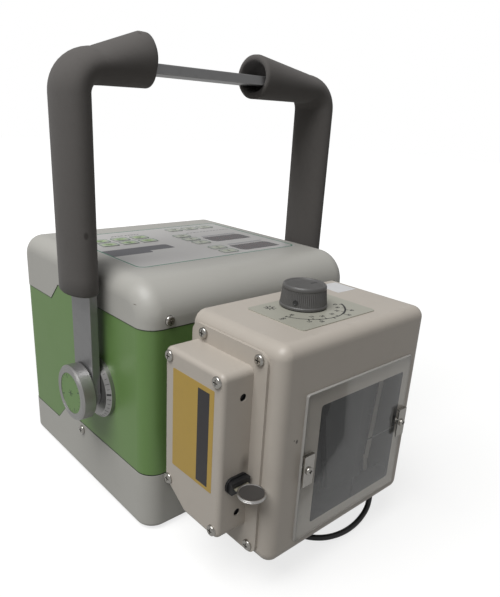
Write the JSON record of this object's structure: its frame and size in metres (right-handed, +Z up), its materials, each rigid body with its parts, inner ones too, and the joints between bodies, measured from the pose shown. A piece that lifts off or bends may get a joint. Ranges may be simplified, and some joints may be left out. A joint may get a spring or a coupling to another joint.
{
  "type": "portable x-ray generator",
  "caption": "Portable x-ray generator with a moulded case, a tilting U handle in foam grips, a top control panel and a light-beam collimator with a laser and distance tape.",
  "frame": {"origin": "centre of the four threaded stand holes in the underside of the case", "axes": "+Z up, -Y the way the beam leaves the collimator, +X to the right of someone facing along +Y"},
  "size_m": [0.272, 0.3395, 0.3728],
  "materials": {
    "case_grey": "fine texture",
    "band_green": "fine texture",
    "screw_nickel": "bright",
    "foot_rubber": "matte",
    "panel_film": "satin",
    "display_tint": "gloss",
    "board_green": "satin",
    "tank_metal": "satin",
    "tube_glass": "gloss",
    "inlet_black": "satin",
    "rocker_black": "gloss",
    "dial_metal": "satin",
    "stud_steel": "satin",
    "bar_aluminium": "brushed satin",
    "foam": "matte",
    "knob_aluminium": "turned satin",
    "cap_green": "satin",
    "collimator_beige": "fine texture",
    "laser_brass": "satin",
    "mouth_black": "satin",
    "tape_steel": "satin",
    "tab_metal": "satin",
    "window_clear": "gloss",
    "clip_nickel": "bright",
    "scale_metal": "satin",
    "field_knob_grey": "satin",
    "shutter_lead": "matte",
    "mirror": "gloss",
    "lamp_glass": "gloss",
    "lead_black": "satin",
    "gland_black": "satin",
    "preset_key": "satin",
    "mode_key": "satin"
  },
  "bodies": {
    "generator": {"angle_dials": "dial_metal", "bottom_cover": "case_grey", "case_screws": "screw_nickel", "collimator_back_plate": "collimator_beige", "collimator_housing": "collimator_beige", "collimator_lead": "lead_black", "collimator_screws": "screw_nickel", "control_board": "board_green", "control_overlay": "panel_film", "display_windows": "display_tint", "field_lamp": "lamp_glass", "hand_switch_socket": "inlet_black", "inverter_board": "board_green", "laser_housing": "collimator_beige", "laser_modules": "laser_brass", "lead_glands": "gland_black", "light_mirror": "mirror", "mains_inlet": "inlet_black", "middle_band": "band_green", "pivot_studs": "stud_steel", "rubber_feet": "foot_rubber", "scale_plate": "scale_metal", "side_plate": "collimator_beige", "tape_mouth": "mouth_black", "top_cover": "case_grey", "window_clips": "clip_nickel", "window_plate": "window_clear", "xray_tank": "tank_metal", "xray_tube": "tube_glass"},
    "handle": {"handle_bar": "bar_aluminium", "left_foam_grip": "foam", "right_foam_grip": "foam"},
    "left_knob": {"left_clamp_knob": "knob_aluminium", "left_knob_cap": "cap_green"},
    "right_knob": {"right_clamp_knob": "knob_aluminium", "right_knob_cap": "cap_green"},
    "field_dial": {"field_knob": "field_knob_grey", "knob_shaft": "stud_steel"},
    "shutter_left": {"shutter_left": "shutter_lead"},
    "shutter_right": {"shutter_right": "shutter_lead"},
    "shutter_lower": {"shutter_lower": "shutter_lead"},
    "shutter_upper": {"shutter_upper": "shutter_lead"},
    "tape": {"tape_blade": "tape_steel", "tape_tab": "tab_metal"},
    "spool": {"tape_spool": "tape_steel"},
    "rocker": {"power_rocker": "rocker_black"},
    "preset_key_1": {"preset_key_1": "preset_key"},
    "preset_key_2": {"preset_key_2": "preset_key"},
    "preset_key_3": {"preset_key_3": "preset_key"},
    "preset_key_4": {"preset_key_4": "preset_key"},
    "preset_key_5": {"preset_key_5": "preset_key"},
    "preset_key_6": {"preset_key_6": "preset_key"},
    "mode_key_1": {"mode_key_1": "mode_key"},
    "mode_key_2": {"mode_key_2": "mode_key"},
    "mode_key_3": {"mode_key_3": "mode_key"},
    "exposure_set_key": {"exposure_set_key": "mode_key"},
    "exposure_up_key": {"exposure_up_key": "mode_key"},
    "exposure_down_key": {"exposure_down_key": "mode_key"},
    "time_up_key": {"time_up_key": "mode_key"},
    "time_down_key": {"time_down_key": "mode_key"}
  },
  "joints": [
    {"name": "handle_tilt", "type": "hinge", "parent": "generator", "child": "handle", "pos_m": [0, -0.0315, 0.1025], "axis": [1, 0, 0], "range_deg": [-90, 90]},
    {"name": "left_knob_turn", "type": "hinge", "parent": "generator", "child": "left_knob", "pos_m": [-0.12935, -0.0315, 0.1025], "axis": [-1, 0, 0], "range_deg": [0, 180]},
    {"name": "right_knob_turn", "type": "hinge", "parent": "generator", "child": "right_knob", "pos_m": [0.12935, -0.0315, 0.1025], "axis": [1, 0, 0], "range_deg": [0, 180]},
    {"name": "field_knob_turn", "type": "hinge", "parent": "generator", "child": "field_dial", "pos_m": [-0.0102, -0.1583, 0.1902], "axis": [0, 0, 1], "range_deg": [0, 270]},
    {"name": "shutter_left_slide", "type": "slide", "parent": "generator", "child": "shutter_left", "axis": [-1, 0, 0], "range_m": [0, 0.024]},
    {"name": "shutter_right_slide", "type": "slide", "parent": "generator", "child": "shutter_right", "axis": [1, 0, 0], "range_m": [0, 0.024]},
    {"name": "shutter_lower_slide", "type": "slide", "parent": "generator", "child": "shutter_lower", "axis": [0, 0, -1], "range_m": [0, 0.024]},
    {"name": "shutter_upper_slide", "type": "slide", "parent": "generator", "child": "shutter_upper", "axis": [0, 0, 1], "range_m": [0, 0.024]},
    {"name": "tape_pull", "type": "slide", "parent": "generator", "child": "tape", "axis": [0, -1, 0], "range_m": [0, 0.025], "stiffness_N_per_m": 20, "springref_m": -0.05},
    {"name": "tape_spool_turn", "type": "hinge", "parent": "generator", "child": "spool", "pos_m": [-0.09435, -0.157, 0.1111], "axis": [-1, 0, 0], "range_deg": [0, 70]},
    {"name": "power_rocker_tilt", "type": "hinge", "parent": "generator", "child": "rocker", "pos_m": [-0.052, 0.1136, 0.1025], "axis": [1, 0, 0], "range_deg": [0, 20]},
    {"name": "preset_key_1_press", "type": "slide", "parent": "generator", "child": "preset_key_1", "axis": [0, 0, -1], "range_m": [0, 0.0003], "stiffness_N_per_m": 500, "springref_m": -0.002},
    {"name": "preset_key_2_press", "type": "slide", "parent": "generator", "child": "preset_key_2", "axis": [0, 0, -1], "range_m": [0, 0.0003], "stiffness_N_per_m": 500, "springref_m": -0.002},
    {"name": "preset_key_3_press", "type": "slide", "parent": "generator", "child": "preset_key_3", "axis": [0, 0, -1], "range_m": [0, 0.0003], "stiffness_N_per_m": 500, "springref_m": -0.002},
    {"name": "preset_key_4_press", "type": "slide", "parent": "generator", "child": "preset_key_4", "axis": [0, 0, -1], "range_m": [0, 0.0003], "stiffness_N_per_m": 500, "springref_m": -0.002},
    {"name": "preset_key_5_press", "type": "slide", "parent": "generator", "child": "preset_key_5", "axis": [0, 0, -1], "range_m": [0, 0.0003], "stiffness_N_per_m": 500, "springref_m": -0.002},
    {"name": "preset_key_6_press", "type": "slide", "parent": "generator", "child": "preset_key_6", "axis": [0, 0, -1], "range_m": [0, 0.0003], "stiffness_N_per_m": 500, "springref_m": -0.002},
    {"name": "mode_key_1_press", "type": "slide", "parent": "generator", "child": "mode_key_1", "axis": [0, 0, -1], "range_m": [0, 0.0003], "stiffness_N_per_m": 500, "springref_m": -0.002},
    {"name": "mode_key_2_press", "type": "slide", "parent": "generator", "child": "mode_key_2", "axis": [0, 0, -1], "range_m": [0, 0.0003], "stiffness_N_per_m": 500, "springref_m": -0.002},
    {"name": "mode_key_3_press", "type": "slide", "parent": "generator", "child": "mode_key_3", "axis": [0, 0, -1], "range_m": [0, 0.0003], "stiffness_N_per_m": 500, "springref_m": -0.002},
    {"name": "exposure_set_key_press", "type": "slide", "parent": "generator", "child": "exposure_set_key", "axis": [0, 0, -1], "range_m": [0, 0.0003], "stiffness_N_per_m": 500, "springref_m": -0.002},
    {"name": "exposure_up_key_press", "type": "slide", "parent": "generator", "child": "exposure_up_key", "axis": [0, 0, -1], "range_m": [0, 0.0003], "stiffness_N_per_m": 500, "springref_m": -0.002},
    {"name": "exposure_down_key_press", "type": "slide", "parent": "generator", "child": "exposure_down_key", "axis": [0, 0, -1], "range_m": [0, 0.0003], "stiffness_N_per_m": 500, "springref_m": -0.002},
    {"name": "time_up_key_press", "type": "slide", "parent": "generator", "child": "time_up_key", "axis": [0, 0, -1], "range_m": [0, 0.0003], "stiffness_N_per_m": 500, "springref_m": -0.002},
    {"name": "time_down_key_press", "type": "slide", "parent": "generator", "child": "time_down_key", "axis": [0, 0, -1], "range_m": [0, 0.0003], "stiffness_N_per_m": 500, "springref_m": -0.002}
  ],
  "couplings": [
    {"joint": "shutter_right_slide", "follows": "shutter_left_slide", "ratio": 1},
    {"joint": "shutter_lower_slide", "follows": "shutter_left_slide", "ratio": 1},
    {"joint": "shutter_upper_slide", "follows": "shutter_left_slide", "ratio": 1},
    {"joint": "field_knob_turn", "follows": "shutter_left_slide", "rad_per_m": 196.3},
    {"joint": "tape_spool_turn", "follows": "tape_pull", "rad_per_m": 48}
  ]
}
